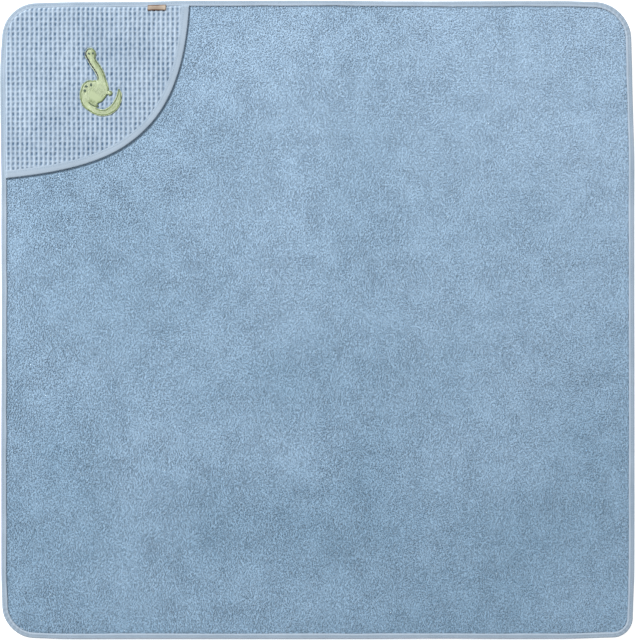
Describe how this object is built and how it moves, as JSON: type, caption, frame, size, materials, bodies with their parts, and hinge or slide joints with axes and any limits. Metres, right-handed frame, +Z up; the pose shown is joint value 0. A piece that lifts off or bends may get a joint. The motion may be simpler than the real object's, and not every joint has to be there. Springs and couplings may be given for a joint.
{
  "type": "hooded baby towel",
  "caption": "Square terry baby towel lying flat, edged in folded tape, with a quarter-round waffle hood over one corner, an embroidered animal motif and a hem label.",
  "frame": {"origin": "on the surface that the towel lies on, under the middle of its box", "axes": "+Z up out of the cloth, +Y towards the top hem, +X to the right, with the hood in the -X, +Y corner"},
  "size_m": [0.8, 0.807, 0.0081],
  "materials": {
    "terry": "cotton terry loops, matt",
    "tape": "plain woven cotton tape, matt",
    "waffle": "cotton waffle weave, matt",
    "seam_thread": "spun polyester thread",
    "lime_embroidery": "rayon fill stitches, soft sheen",
    "olive_embroidery": "rayon satin stitches, soft sheen",
    "dark_embroidery": "rayon satin stitches, soft sheen",
    "backing": "tear-away non-woven",
    "label": "folded woven tape, smooth"
  },
  "bodies": {
    "towel": {"terry_panel": "terry", "edge_binding": "tape", "edge_top_thread": "seam_thread", "edge_under_thread": "seam_thread", "hood_panel": "waffle", "hood_binding_top_end": "tape", "hood_binding_side_end": "tape", "hood_top_thread_top_end": "seam_thread", "hood_top_thread_side_end": "seam_thread", "hood_under_thread_top_end": "seam_thread", "hood_under_thread_side_end": "seam_thread", "embroidery_backing": "backing", "dinosaur_patch": "lime_embroidery", "dinosaur_outline": "olive_embroidery", "dinosaur_leg_line": "olive_embroidery", "dinosaur_left_eye": "dark_embroidery", "dinosaur_right_eye": "dark_embroidery", "dinosaur_upper_spot": "dark_embroidery", "dinosaur_middle_spot": "dark_embroidery", "dinosaur_lower_spot": "dark_embroidery", "label_root": "label"},
    "hood_edge": {"hood_free_edge": "waffle", "hood_binding": "tape", "hood_top_thread": "seam_thread", "hood_under_thread": "seam_thread"},
    "label": {"label_tab": "label"}
  },
  "joints": [
    {"name": "hood_fold", "type": "hinge", "parent": "towel", "child": "hood_edge", "pos_m": [-0.25434, 0.25784, 0.0078], "axis": [-0.7071, -0.7071, 0], "range_deg": [0, 150]},
    {"name": "label_fold", "type": "hinge", "parent": "towel", "child": "label", "pos_m": [-0.201, 0.39695, 0.0075], "axis": [-1, 0, 0], "range_deg": [0, 150]}
  ]
}
